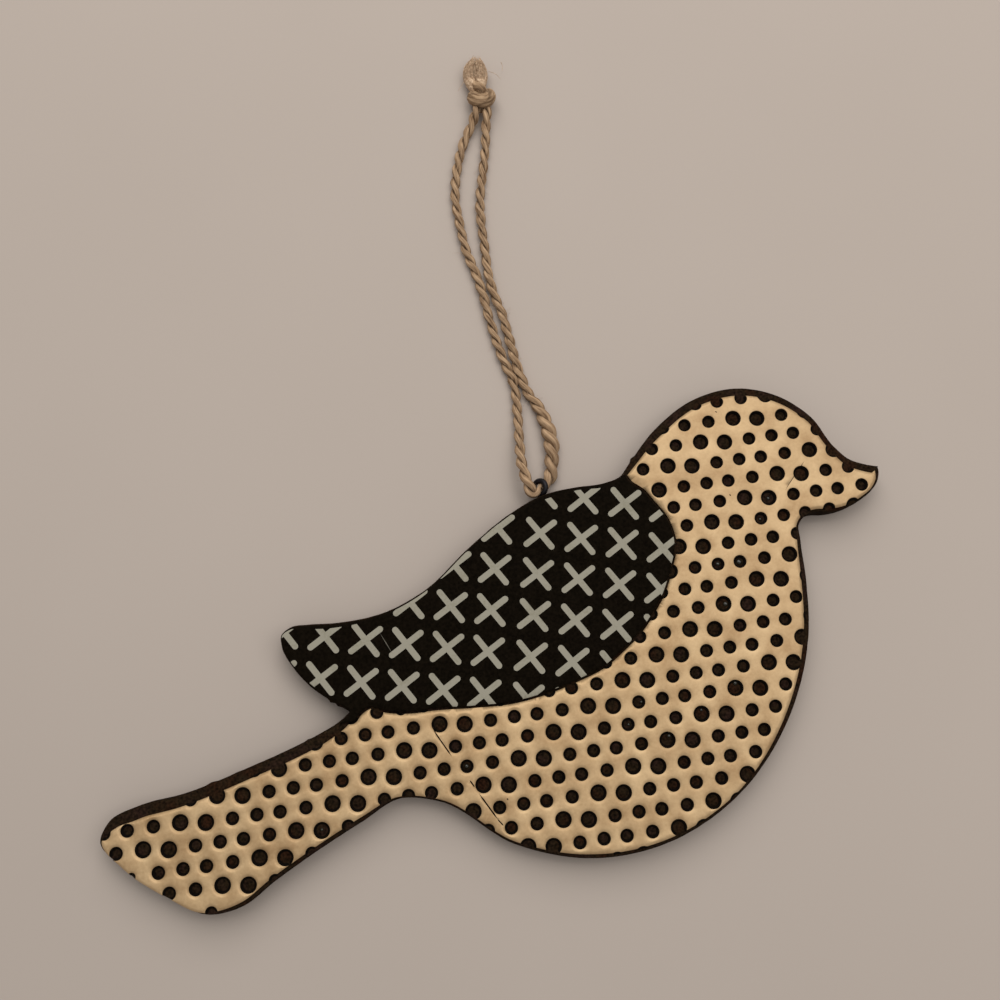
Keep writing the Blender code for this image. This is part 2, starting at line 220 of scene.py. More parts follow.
# Matt craft paint over fibreboard: nearly black, in warm brown and olive patches, with a dusty grain.
black_paint, tree, shader, place = new_material("matt_black_craft_paint")
patch = add_node(tree, "ShaderNodeTexNoise", {"Vector": place, "Scale": per_mm(3.5), "Detail": 2.0})
grain = add_node(tree, "ShaderNodeTexNoise", {"Vector": place, "Scale": per_mm(0.4), "Detail": 4.0})
tint = add_node(
    tree, "ShaderNodeValToRGB", {"Fac": patch.outputs["Fac"]},
    stops=((0.3, "#27160c"), (0.5, "#20170d"), (0.7, "#261913")))
dust = add_node(
    tree, "ShaderNodeMapRange",
    {"Value": grain.outputs["Fac"], "From Min": 0.3, "From Max": 0.7, "To Min": 0.25, "To Max": 1.75})
dusty = add_node(
    tree, "ShaderNodeHueSaturation", {"Color": tint.outputs["Color"], "Value": dust.outputs["Result"]})
relief = add_node(
    tree, "ShaderNodeBump", {"Height": grain.outputs["Fac"], "Strength": 0.35, "Distance": 0.06 * MM})
feed(tree, shader, {
    "Base Color": dusty.outputs["Color"], "Normal": relief.outputs["Normal"],
    "Roughness": 0.85, "Specular IOR Level": 0.03})

# The board's skin as rings round its edge, from the back to the face: inset from the outline, and level.
EDGE_RINGS = (
    (0.50, 0.0), (0.16, 0.10), (0.03, 0.40), (0.0, 0.9), (0.0, 1.5), (0.0, 2.25), (0.0, 3.0), (0.0, 3.6),
    (0.03, 4.1), (0.16, 4.40), (0.50, 4.5),
)
EDGE_ROUGHNESS = 0.09
SAW_MARK, SAW_FUZZ = 2.2, 0.7
BURRS = np.array((
    (-47.54, -23.21), (-42.94, -21.16), (-31.73, -16.56), (22.4, 30.97), (-28.16, -9.98), (-26.83, -10.79),
))
BURR_HEIGHT, BURR_WIDTH, BURR_FULL_AT = 0.28, 0.35, 3
# In a tight corner a ring's inset is cut back by these shares until it keeps clear of the outline.
INSET_TRIES = (1, 0.8, 0.6, 0.4, 0.2, 0.05)
CLEAR_SHARE = 0.9
normals = inward(outline)
rings = []
for inset_by, level in EDGE_RINGS:
    ring = outline.copy()
    open_points = np.ones(len(outline), dtype=bool)
    for share in INSET_TRIES:
        tried = outline + normals * inset_by * share
        ring[open_points] = tried[open_points]
        if inset_by:
            open_points &= clearance(ring, outline) < CLEAR_SHARE * inset_by * share
    level *= board_top / EDGE_RINGS[-1][1]
    if 0 < level < board_top:
        for k, (x, y) in enumerate(ring):
            rough = 0.6 * ripple(x, y, level, SAW_MARK) + 0.4 * ripple(x, y, 2 * level, SAW_FUZZ)
            burr = np.exp(-((outline[k] - BURRS) ** 2).sum(1) / BURR_WIDTH ** 2).sum()
            burr *= min(1, level / BURR_FULL_AT)
            ring[k] += normals[k] * (EDGE_ROUGHNESS * max(0, rough) - BURR_HEIGHT * burr)
    rings.append(np.c_[ring, np.full(len(ring), level)])
faces = skin(len(rings), len(outline))
board = finished("black_board", np.concatenate(rings), faces, [black_paint], crease=50)
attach(board, "ornament")
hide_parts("board")

# Body sheet. Thin gold-lacquered metal glued over tail, belly, breast and head. Round holes of two sizes
# are pressed through it from the front, so the metal dips towards each hole and the black board shows.
SEAM = 0.4
CORNER_SHARE = 0.98
# Where the sheet stops inside the outline: the number of the outline's point, and the margin there.
BODY_MARGINS = (
    (0, 1.5), (2, 1.45), (3, 1.2), (4, 1.3), (6, 1.5), (8, 1.55), (8.5, 1.2), (9, 1.0), (10, 0.75),
    (11, 0.7), (25, 1.2), (26, 1.5), (27, 1.8), (29.5, 1.78), (30.5, 1.95), (31.3, 2.0), (32, 1.65),
    (32.5, 1.15), (33, 0.5), (33.7, 0.15), (35.6, 0.15), (36.3, 0.6), (37, 0.75), (39, 0.75), (40, 0.4),
    (41, 0.4), (42, 0.5), (43, 0.75), (44, 0.7), (45, 0.6), (46, 0.9), (47, 1.05), (48, 1.05), (49, 0.8),
    (50, 0.55), (53, 0.45), (56, 0.4), (57, 0.6), (58, 0.95), (59, 1.5),
)
# The seam between both sheets, from the nape round the wing to its tip, and a frame outside the board.
WING_EDGE = (
    (19.6, 30.2), (21.15, 27.75), (22.09, 26.6), (22.96, 26.06), (23.93, 25.4), (25.25, 23.86),
    (28.33, 19.72), (29.23, 15.7), (28.63, 12.69), (27.93, 10.19), (26.82, 7.28), (25.41, 4.77),
    (23.3, 1.66), (19.89, -1.86), (17.08, -4.26), (12.15, -6.77), (6.53, -8.98), (1.4, -10.29),
    (-4.52, -10.89), (-11.76, -11.39), (-14.17, -11.74), (-16.98, -11.84), (-19.29, -11.64),
    (-21.6, -11.04), (-23.41, -12.29), (-24.11, -13.3), (-25.42, -13.6), (-28.13, -13.9), (-36.17, -14.1),
)
WING_SURROUND = ((-70.0, -10.0), (-70.0, 60.0), (19.0, 60.0))
LARGE_HOLE, SMALL_HOLE = 2.7, 2.2
HOLE_SIDES = 24
ROW_LENGTH, ROW_SPACING, ROW_STEP_BACK = 24.537, 3.4803, 6.1765
ROW_SLOPE = 6.843
ROW_START = np.array((28.26, 29.48))
# One repeat of a row: each hole's share of the row's length, and its step across the row.
ROW_OF_HOLES = (
    (0.0, 0.0), (0.1662, -0.475), (0.3408, -0.358), (0.5012, -0.244), (0.6535, -0.244), (0.8245, -0.101),
)
LARGE_IN_ROW = 2
# The lips lean this far into each hole, and their near-black walls show there as a ring of painted shade.
LIP_SLOPE = 0.42
LIP_BENDS = (0.1, 0.22, 0.36, 0.54)
# At a hole's rim: how far in metal may reach, how close a point on it is, and how close a bend may come.
RIM_SLACK, RIM_REACH, RIM_CROWD = 0.012, 0.02, 0.08
# The dips are deepest in the tail and shallowest in the head, measured along a line from tail to head.
TAIL_TO_HEAD = (0.8, 0.6)
TAIL_MARK, BELLY_MARK, HEAD_MARK = -30, -5, 45
DIP_WIDTH = 0.6
DIP_AT_TAIL, DIP_AT_BELLY, DIP_AT_HEAD = 0.29, 0.19, 0.06
EDGE_ROLL, EDGE_DROP = 0.6, 0.4
EDGE_BENDS = (0.1, 0.22, 0.38, 0.56)
SHEET_SLACK, SLACK_SIZE = 0.03, 7
PUCKER_SHARE, PUCKER_SIZE = 0.2, 2.4
GLUE_FILM = 0.02
# Holes that are partly or wholly closed: their places, and the share of the radius that is left.
SAME_HOLE = 1.2
SHRUNK_HOLES = (
    (-58.7, -37.2, 0.5), (-50.0, -42.2, 0.0), (-46.1, -42.4, 0.75), (-42.0, -41.9, 0.0),
    (22.9, 26.0, 0.0),
)
# Cracks between the holes: start, end and width. They taper over the given share at each end.
CRACK_TAPER = 0.2
CRACKS = (
    ((-11.3, -14.6), (-8.2, -18.9), 0.22), ((-5.3, -22.6), (-4.5, -23.7), 0.22),
    ((-3.75, -24.75), (-0.75, -28.75), 0.24), ((-0.8, -28.7), (0.2, -29.75), 0.2),
    ((0.7, -25.45), (0.95, -25.7), 0.2), ((51.8, 30.6), (48.1, 25.3), 0.09),
    ((36.6, 39.05), (37.0, 38.9), 0.16), ((38.6, 24.6), (38.8, 24.3), 0.2),
)
MERGE_WITHIN = 0.0005


def inset(loop, margins):
    """The loop moved inwards, without the points that crowd together in corners."""
    moved = loop + inward(loop) * np.reshape(margins, (-1, 1))
    return moved[clearance(moved, loop) > CORNER_SHARE * np.array(margins)]


def shifted(line, margin):
    """The open line moved to its left by the margin."""
    along = np.gradient(line, axis=0)
    along /= np.linalg.norm(along, axis=1)[:, None]
    return line + margin * np.c_[-along[:, 1], along[:, 0]]


def heading(degrees):
    """The unit direction at an angle from the x axis."""
    turn = math.radians(degrees)
    return np.array((math.cos(turn), math.sin(turn)))


def circle(middle, radius, sides):
    """A closed ring of points."""
    turns = np.arange(sides) * 2 * math.pi / sides
    return np.array(middle) + radius * np.c_[np.cos(turns), np.sin(turns)]


def pressed_sheet(lines, spots, finish, height, foot, seat):
    """A thin sheet as a closed mesh, cut along the lines and bent at the spots.

    finish picks a material for each triangle, or -1 to leave it out; height gives the face's level, and
    foot the places of the points below it."""
    corners, cuts = [], []
    for line in lines:
        first = len(corners)
        corners += [Vector(point) for point in line]
        cuts += [(first + k, first + (k + 1) % len(line)) for k in range(len(line))]
    corners += [Vector(point) for point in spots]
    plan = delaunay_2d_cdt(corners, cuts, [], 0, MERGE_WITHIN)
    places, triangles = np.array([point[:] for point in plan[0]]), np.array(plan[2])
    kinds = finish(places[triangles].mean(1))
    triangles, kinds = triangles[kinds >= 0], kinds[kinds >= 0]
    used, triangles = np.unique(triangles, return_inverse=True)
    places, triangles = places[used], triangles.reshape(-1, 3)
    face, back = np.c_[places, height(places)], np.c_[foot(places), np.full(len(places), seat)]
    edges = {}
    for triangle in triangles:
        for start, end in zip(triangle, np.roll(triangle, -1)):
            edges[(start, end)] = True
    below = len(places)
    walls = [
        (end, start, start + below, end + below) for start, end in edges if (end, start) not in edges]
    faces = list(triangles) + walls + list(triangles[:, ::-1] + below)
    return np.concatenate((face, back)), faces, kinds


wing_edge = on_board(smooth(WING_EDGE, OUTLINE_STEPS) + [WING_EDGE[-1]])
wing_surround = on_board(WING_SURROUND)
body_loop = inset(outline, np.interp(np.arange(len(outline)) / OUTLINE_STEPS, *zip(*BODY_MARGINS)))
wing_clear = np.concatenate((shifted(wing_edge, SEAM / 2), wing_surround))

along_row = heading(ROW_SLOPE)
across_row = np.array((-along_row[1], along_row[0]))
holes = []
for row in range(-10, 40):
    for repeat in range(-8, 20):
        forward = repeat * ROW_LENGTH - row * ROW_STEP_BACK
        corner = ROW_START + along_row * forward - across_row * row * ROW_SPACING
        for number, (along, across) in enumerate(ROW_OF_HOLES):
            middle = corner + along_row * along * ROW_LENGTH + across_row * across
            holes.append((*middle, (LARGE_HOLE if number < LARGE_IN_ROW else SMALL_HOLE) / 2))
holes = np.array(holes)
on_body = inside(holes[:, :2], body_loop) | (clearance(holes[:, :2], body_loop) < holes[:, 2])
off_wing = ~inside(holes[:, :2], wing_clear) | (clearance(holes[:, :2], wing_clear) < holes[:, 2])
holes = holes[on_body & off_wing]
for x, y, share in SHRUNK_HOLES:
    holes[np.hypot(holes[:, 0] - x, holes[:, 1] - y) < SAME_HOLE, 2] *= share
holes = holes[holes[:, 2] > 0]


def hole_gap(points):
    """Distance from each point to the nearest hole's rim, negative within the hole."""
    gaps = []
    for few in np.array_split(points, len(points) // 4000 + 1):
        away = few[:, None] - holes[None, :, :2]
        gaps.append((np.hypot(away[..., 0], away[..., 1]) - holes[:, 2]).min(1))
    return np.concatenate(gaps)


crack_lines = []
for start, end, width in CRACKS:
    start, end = np.array(start), np.array(end)
    side = np.array((start[1] - end[1], end[0] - start[0])) / np.linalg.norm(end - start) * width / 2
    taper = (end - start) * CRACK_TAPER
    opened, closed = start + taper, end - taper
    line = (start, opened - side, closed - side, end, closed + side, opened + side)
    crack_lines.append(np.array(line))


def gold_finish(middles):
    """0 where the sheet has metal, -1 in its holes, its cracks and beyond its edges."""
    metal = inside(middles, body_loop) & ~inside(middles, wing_clear)
    metal &= hole_gap(middles) > -RIM_SLACK
    for line in crack_lines:
        metal &= ~inside(middles, line)
    return np.where(metal, 0, -1)


gold_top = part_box("body_sheet")[1][2] / MM


def gold_height(places):
    """The sheet's level: a slack skin that dips to each hole and rolls over at its edges."""
    depth = np.interp(
        places @ TAIL_TO_HEAD, (TAIL_MARK, BELLY_MARK, HEAD_MARK), (DIP_AT_TAIL, DIP_AT_BELLY, DIP_AT_HEAD))
    share = np.clip(1 - hole_gap(places) / DIP_WIDTH, 0, 1)
    edge = np.minimum(clearance(places, body_loop), clearance(places, wing_clear))
    roll = np.clip(1 - edge / EDGE_ROLL, 0, 1) ** 2 * EDGE_DROP
    slack = np.array([
        SHEET_SLACK * ripple(x, y, 0, SLACK_SIZE) + PUCKER_SHARE * dip * ripple(x, y, 5, PUCKER_SIZE)
        for (x, y), dip in zip(places, depth)])
    return gold_top - SHEET_SLACK + slack - np.maximum(depth * share * share, roll)


def gold_foot(places):
    """The back's points: below the face's, but leaning into the hole at each pressed lip, where the dark
    walls show as a ring of painted shade.
    """
    away = places[:, None] - holes[None, :, :2]
    gaps = np.hypot(away[..., 0], away[..., 1]) - holes[:, 2]
    nearest = gaps.argmin(1)
    on_rim = np.abs(gaps.min(1)) < RIM_REACH
    inwards = away[np.arange(len(places)), nearest] / -holes[nearest, 2:]
    return places + inwards * LIP_SLOPE * on_rim[:, None]


spots = []
for x, y, radius in holes:
    for gap in LIP_BENDS:
        spots.append(circle((x, y), radius + gap, HOLE_SIDES))
for gap in EDGE_BENDS:
    spots.append(body_loop + inward(body_loop) * gap)
spots = np.concatenate(spots)
crowded = hole_gap(spots) < RIM_CROWD
spots = spots[~crowded & inside(spots, body_loop) & ~inside(spots, wing_clear)]
hole_lines = [circle((x, y), radius, HOLE_SIDES) for x, y, radius in holes]
points, faces, kinds = pressed_sheet(
    [body_loop, wing_clear] + hole_lines + crack_lines, spots, gold_finish, gold_height, gold_foot,
    board_top + GLUE_FILM)

# Gold lacquer on thin rolled metal: warm, pale and satin, clouded with brown and finely specked.
gold_lacquer, tree, shader, place = new_material("gold_lacquered_metal")
blotch = add_node(tree, "ShaderNodeTexNoise", {"Vector": place, "Scale": per_mm(5), "Detail": 5.0})
speck = add_node(tree, "ShaderNodeTexNoise", {"Vector": place, "Scale": per_mm(0.45), "Detail": 3.0})
clouded = add_node(
    tree, "ShaderNodeMath", {0: speck.outputs["Fac"], 1: 0.35, 2: blotch.outputs["Fac"]},
    operation="MULTIPLY_ADD")
tint = add_node(
    tree, "ShaderNodeValToRGB", {"Fac": clouded.outputs["Value"]},
    stops=((0.45, "#a98860"), (0.9, "#cdae83")))
sheen = add_node(
    tree, "ShaderNodeMapRange", {"Value": speck.outputs["Fac"], "To Min": 0.46, "To Max": 0.58})
relief = add_node(
    tree, "ShaderNodeBump", {"Height": speck.outputs["Fac"], "Strength": 0.12, "Distance": 0.05 * MM})
feed(tree, shader, {
    "Base Color": tint.outputs["Color"], "Roughness": sheen.outputs["Result"],
    "Normal": relief.outputs["Normal"], "Metallic": 0.4, "Specular IOR Level": 0.3})

# The sheet's cut edges and its back, dull black with paint and glue, and made darker still as painted
# shade: in each hole the leaning lip shows this near-black as the shaded ring below the rim.
shaded_cut_edge, tree, shader, place = new_material("cut_edge_with_painted_shade")
stain = add_node(tree, "ShaderNodeTexNoise", {"Vector": place, "Scale": per_mm(0.8), "Detail": 3.0})
tint = add_node(
    tree, "ShaderNodeValToRGB", {"Fac": stain.outputs["Fac"]}, stops=((0, "#030201"), (1, "#120c07")))
feed(tree, shader, {"Base Color": tint.outputs["Color"], "Roughness": 0.8, "Specular IOR Level": 0.05})

finishes = [gold_lacquer, shaded_cut_edge]
face_kinds = list(kinds) + [finishes.index(shaded_cut_edge)] * (len(faces) - len(kinds))
gold_sheet = finished("gold_body_sheet", points, faces, finishes, face_kinds, crease=65)
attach(gold_sheet, "ornament")
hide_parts("body_sheet")

# Wing sheet. The same thin metal, lacquered matt black and printed with rows of grey-green crosses
# before it was cut out, so the crosses stop at its edge. It is glued on beside the gold sheet.
WING_MARGIN = 0.3
# Where the print stops inside the outline, counted as for the body sheet.
PRINT_MARGINS = (
    (10, 0.5), (11, 0.8), (11.3, 0.85), (11.6, 0.75), (12, 0.75), (12.7, 1.0), (13.1, 1.0), (13.3, 1.4),
    (13.6, 1.4), (13.8, 0.6), (14, 0.36), (16, 0.36), (17, 0.5), (17.6, 0.8), (18.4, 0.95), (19.2, 0.9),
    (20, 0.5), (20.7, 0.36), (22.8, 0.36), (24, 0.45), (25, 0.5),
)
# A first cross, then the length and turn of the step to the next one on the right and to the one below.
CROSSES_LEFT = ((6.006, 18.064), (6.766, -5.33), (6.906, -94.65))
CROSSES_RIGHT = ((6.392, 17.831), (6.947, -7.13), (6.894, -94.70))
PRINT_FOOT = -12.5
ARM_LENGTH, ARM_WIDTH = 6.95, 1.02
ARM_TURNS = (38.1, -50.6)
ARM_WOBBLE, WOBBLE_SIZE, ARM_UNEVENNESS = 1.2, 3, 0.05
ARM_END_SIDES = 8
SCRATCH = ((-20.4, 1.3), (-18.0, -2.5))
SCRATCH_WIDTH = 0.14
WING_SLACK, WING_SLACK_SIZE, WING_SUNK = 0.02, 9, 0.03
WING_ROLL, WING_DROP = 0.45, 0.12
WING_BENDS = (0.15, 0.35)
WING_GRID = 0.9
wing_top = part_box("wing_sheet")[1][2] / MM
wing_loop = inset(outline, np.full(len(outline), WING_MARGIN))
wing_area = np.concatenate((shifted(wing_edge, -SEAM / 2), wing_surround))
print_loop = inset(outline, np.interp(np.arange(len(outline)) / OUTLINE_STEPS, *zip(*PRINT_MARGINS)))

# Two printing plates met between two columns of crosses, so each side has its own lattice.
arms = []
half_arm = (ARM_LENGTH - ARM_WIDTH) / 2
for down in range(-4, 8):
    for along in range(-9, 8):
        start, right, below = CROSSES_LEFT if along < 0 else CROSSES_RIGHT
        middle = np.array(start)
        for steps, (length, turn) in ((along, right), (down, below)):
            middle += steps * length * heading(turn)
        spot = middle[None]
        beyond = [
            0 if inside(spot, loop)[0] else clearance(spot, loop)[0] for loop in (wing_loop, wing_area)]
        if middle[1] < PRINT_FOOT or max(beyond) > ARM_LENGTH / 2:
            continue
        for turn in ARM_TURNS:
            reach = heading(turn + ARM_WOBBLE * ripple(*middle, 0, WOBBLE_SIZE)) * half_arm
            arms.append((middle - reach, middle + reach))
arm_lines = []
for start, end in arms:
    ahead = (end - start) / np.linalg.norm(end - start)
    side = np.array((-ahead[1], ahead[0]))
    line = []
    for middle, first in ((start, math.pi / 2), (end, -math.pi / 2)):
        for k in range(ARM_END_SIDES + 1):
            turn = first + math.pi * k / ARM_END_SIDES
            width = ARM_WIDTH / 2 * (1 + ARM_UNEVENNESS * ripple(*(middle * 3 + k), 0, 1))
            line.append(middle + width * (ahead * math.cos(turn) + side * math.sin(turn)))
    arm_lines.append(np.array(line))
start, end = np.array(SCRATCH)
side = np.array((start[1] - end[1], end[0] - start[0]))
side *= SCRATCH_WIDTH / 2 / np.linalg.norm(side)
middle = (start + end) / 2
scratch_line = np.array((start, middle - side, end, middle + side))


def wing_finish(middles):
    """0 on the black lacquer, 1 on the printed crosses, 2 in the scratch, -1 beyond the sheet's edge."""
    kinds = np.where(inside(middles, wing_loop) & inside(middles, wing_area), 0, -1)
    for line in arm_lines:
        close = (kinds == 0) & (np.abs(middles - line.mean(0)).max(1) < ARM_LENGTH)
        kinds[close] = np.where(inside(middles[close], line), 1, 0)
    kinds[(kinds == 1) & ~inside(middles, print_loop)] = 0
    kinds[(kinds >= 0) & inside(middles, scratch_line)] = 2
    return kinds


def wing_height(places):
    """The sheet's level: nearly flat, rolled over a little at its edges."""
    edge = np.minimum(clearance(places, wing_loop), clearance(places, wing_area))
    slack = np.array([WING_SLACK * ripple(x, y, 0, WING_SLACK_SIZE) for x, y in places])
    return wing_top - WING_SUNK + slack - np.clip(1 - edge / WING_ROLL, 0, 1) ** 2 * WING_DROP


spots = [np.mgrid[-40:32:WING_GRID, -20:32:WING_GRID].reshape(2, -1).T]
spots += [wing_loop + inward(wing_loop) * gap for gap in WING_BENDS]
spots += [shifted(wing_edge, -SEAM / 2 - gap) for gap in WING_BENDS]
spots = np.concatenate(spots)
spots = spots[inside(spots, wing_loop) & inside(spots, wing_area)]
points, faces, kinds = pressed_sheet(
    [wing_loop, wing_area, print_loop, scratch_line] + arm_lines, spots, wing_finish, wing_height, np.array,
    board_top + GLUE_FILM)

# Matt black lacquer: an even warm black with a fine eggshell grain.
black_lacquer, tree, shader, place = new_material("matt_black_lacquer")
shell = add_node(tree, "ShaderNodeTexNoise", {"Vector": place, "Scale": per_mm(0.45), "Detail": 4.0})
tint = add_node(
    tree, "ShaderNodeValToRGB", {"Fac": shell.outputs["Fac"]}, stops=((0.3, "#070401"), (0.8, "#17110a")))
sheen = add_node(
    tree, "ShaderNodeMapRange", {"Value": shell.outputs["Fac"], "To Min": 0.6, "To Max": 0.8})
relief = add_node(
    tree, "ShaderNodeBump", {"Height": shell.outputs["Fac"], "Strength": 0.15, "Distance": 0.04 * MM})
feed(tree, shader, {
    "Base Color": tint.outputs["Color"], "Roughness": sheen.outputs["Result"],
    "Normal": relief.outputs["Normal"], "Specular IOR Level": 0.02})

# Screen-printed ink: chalky grey-green that warms to beige in patches, thin enough to show the grain.
cross_ink, tree, shader, place = new_material("grey_green_screen_ink")
patch = add_node(tree, "ShaderNodeTexNoise", {"Vector": place, "Scale": per_mm(3), "Detail": 4.0})
chalk = add_node(tree, "ShaderNodeTexNoise", {"Vector": place, "Scale": per_mm(0.4), "Detail": 4.0})
mixed = add_node(
    tree, "ShaderNodeMath", {0: patch.outputs["Fac"], 1: chalk.outputs["Fac"]}, operation="ADD")
tint = add_node(
    tree, "ShaderNodeValToRGB", {"Fac": mixed.outputs["Value"]}, stops=((0.3, "#7d7762"), (1, "#969080")))
relief = add_node(
    tree, "ShaderNodeBump", {"Height": chalk.outputs["Fac"], "Strength": 0.2, "Distance": 0.03 * MM})
feed(tree, shader, {
    "Base Color": tint.outputs["Color"], "Normal": relief.outputs["Normal"],
    "Roughness": 0.7, "Specular IOR Level": 0.1})

# A fine scratch through the lacquer, which leaves a dull grey-brown line.
bare_scratch, tree, shader, place = new_material("scratched_lacquer")
dust = add_node(tree, "ShaderNodeTexNoise", {"Vector": place, "Scale": per_mm(0.5)})
tint = add_node(
    tree, "ShaderNodeValToRGB", {"Fac": dust.outputs["Fac"]}, stops=((0, "#3f3a30"), (1, "#6a6354")))
feed(tree, shader, {"Base Color": tint.outputs["Color"], "Roughness": 0.7})

finishes = [black_lacquer, cross_ink, bare_scratch, shaded_cut_edge]
face_kinds = list(kinds) + [finishes.index(shaded_cut_edge)] * (len(faces) - len(kinds))
wing_sheet = finished("printed_wing_sheet", points, faces, finishes, face_kinds, crease=65)
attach(wing_sheet, "ornament")
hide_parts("wing_sheet")

# Glue beads. Clear glue holds the sheets to the board. Some of it squeezed up through the holes and
# dried there on the black paint in small drops. Each row gives a bead's place and radius.
BEADS = (
    (36.33, 12.75, 0.4), (39.95, 13.11, 0.5), (45.32, 24.0, 0.35), (43.78, 20.4, 0.3), (37.41, 6.02, 0.45),
    (38.55, -7.06, 0.4), (32.79, -11.44, 0.3), (20.73, -13.78, 0.3), (27.36, -15.61, 0.35),
    (22.9, -10.11, 0.3), (-29.07, -30.35, 0.3), (-5.81, -20.44, 0.4),
)
BEAD_HEIGHT, BEAD_SUNK, BEAD_FLATNESS = 0.32, 0.05, 0.9

# Dried clear glue: shiny, with a faint haze, and dark because the paint shows through.
clear_glue, tree, shader, place = new_material("dried_clear_glue")
haze = add_node(tree, "ShaderNodeTexNoise", {"Vector": place, "Scale": per_mm(0.6)})
tint = add_node(
    tree, "ShaderNodeValToRGB", {"Fac": haze.outputs["Fac"]}, stops=((0, "#1b1811"), (1, "#2e2a20")))
feed(tree, shader, {"Base Color": tint.outputs["Color"], "Roughness": 0.08})
beads = bmesh.new()
for x, y, radius in BEADS:
    at = Matrix.Translation((x * MM, y * MM, (board_top - BEAD_SUNK) * MM))
    shape = Matrix.Diagonal((radius * MM, BEAD_FLATNESS * radius * MM, BEAD_HEIGHT * MM, 1))
    bmesh.ops.create_uvsphere(beads, u_segments=18, v_segments=10, radius=1, matrix=at @ shape)
bead_mesh = bpy.data.meshes.new("glue_beads")
beads.to_mesh(bead_mesh)
beads.free()
bead_mesh.materials.append(clear_glue)
bead_mesh.shade_smooth()
glue_beads = bpy.data.objects.new("glue_beads", bead_mesh)
bpy.context.scene.collection.objects.link(glue_beads)
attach(glue_beads, "ornament")

# Screw eye. Black steel wire bent into a ring, its end closed against the shank, screwed by hand into
# the board's top edge so that the ring stands turned across it.
EYE_WIRE, EYE_OUTER = 0.9, 3.4
EYE_TURN = math.radians(40)
RING_ASIDE, RING_SUNK = 0.2, 0.28
RING_NECK = 0.9
RING_FROM, RING_SWEEP, RING_STEPS = -86, 340, 40
RING_PITCH, RING_DROP = 0.16, 0.05
EYE_SIDES = 14
eye_low, eye_high = np.array(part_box("screw_eye")) / MM
ring_radius = (EYE_OUTER - EYE_WIRE) / 2
shank_end = np.array(((eye_low[0] + eye_high[0]) / 2, eye_low[1], board_top / 2))
ring_middle = np.array((shank_end[0] + RING_ASIDE, eye_high[1] - EYE_OUTER / 2 - RING_SUNK, board_top / 2))
ring_across = np.array((math.cos(EYE_TURN), 0, math.sin(EYE_TURN)))
ring_normal = np.array((-math.sin(EYE_TURN), 0, math.cos(EYE_TURN)))
upward = np.array((0.0, 1.0, 0.0))


def frames(path):
    """Tangents and two side directions along a path, carried along without twist."""
    tangents = np.gradient(path, axis=0)
    tangents /= np.linalg.norm(tangents, axis=1)[:, None]
    start = np.cross(tangents[0], (0, 0, 1) if abs(tangents[0][2]) < 0.9 else (1, 0, 0))
    sides = [start / np.linalg.norm(start)]
    for tangent in tangents[1:]:
        side = sides[-1] - tangent * (sides[-1] @ tangent)
        sides.append(side / np.linalg.norm(side))
    sides = np.array(sides)
    return tangents, sides, np.cross(tangents, sides)


def swept(path, radii):
    """A closed tube along a path; radii holds one row for each point and one column for each side."""
    sides, uppers = frames(path)[1:]
    count = radii.shape[1]
    turns = np.arange(count) * 2 * math.pi / count
    spread = np.cos(turns)[None, :, None] * sides[:, None] + np.sin(turns)[None, :, None] * uppers[:, None]
    points = (path[:, None] + radii[..., None] * spread).reshape(-1, 3)
    return points, skin(len(path), count)


wire = [shank_end, ring_middle - upward * (ring_radius + RING_NECK)]
for k in range(RING_STEPS + 1):
    turn = math.radians(RING_FROM + RING_SWEEP * k / RING_STEPS)
    lift = RING_PITCH * (k / RING_STEPS) - RING_DROP
    spoke = ring_across * math.cos(turn) + upward * math.sin(turn)
    wire.append(ring_middle + ring_radius * spoke + ring_normal * lift)
wire = np.array(smooth(wire, 3) + [tuple(wire[-1])])
points, faces = swept(wire, np.full((len(wire), EYE_SIDES), EYE_WIRE / 2))

# Japanned steel wire: black enamel over drawn wire, with a soft gloss and small rubbed patches.
black_enamel, tree, shader, place = new_material("japanned_steel_wire")
rub = add_node(tree, "ShaderNodeTexNoise", {"Vector": place, "Scale": per_mm(0.6), "Detail": 3.0})
tint = add_node(
    tree, "ShaderNodeValToRGB", {"Fac": rub.outputs["Fac"]}, stops=((0.55, "#0c080b"), (0.8, "#221b20")))
sheen = add_node(tree, "ShaderNodeMapRange", {"Value": rub.outputs["Fac"], "To Min": 0.4, "To Max": 0.6})
feed(tree, shader, {
    "Base Color": tint.outputs["Color"], "Roughness": sheen.outputs["Result"], "Specular IOR Level": 0.25})
screw_eye = finished("wire_screw_eye", points, faces, [black_enamel], crease=60)
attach(screw_eye, "ornament")
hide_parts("screw_eye")

# Twine loop. One length of raw two-ply jute, doubled through the eye. Each ply is a loose bundle of
# fibres; the two are laid round each other, and short fibres stand out along the whole length.
TWINE, TWINE_IN_EYE = 1.5, 1.0
FLOOR_GAP, FLOOR_REST = 0.1, 0.08
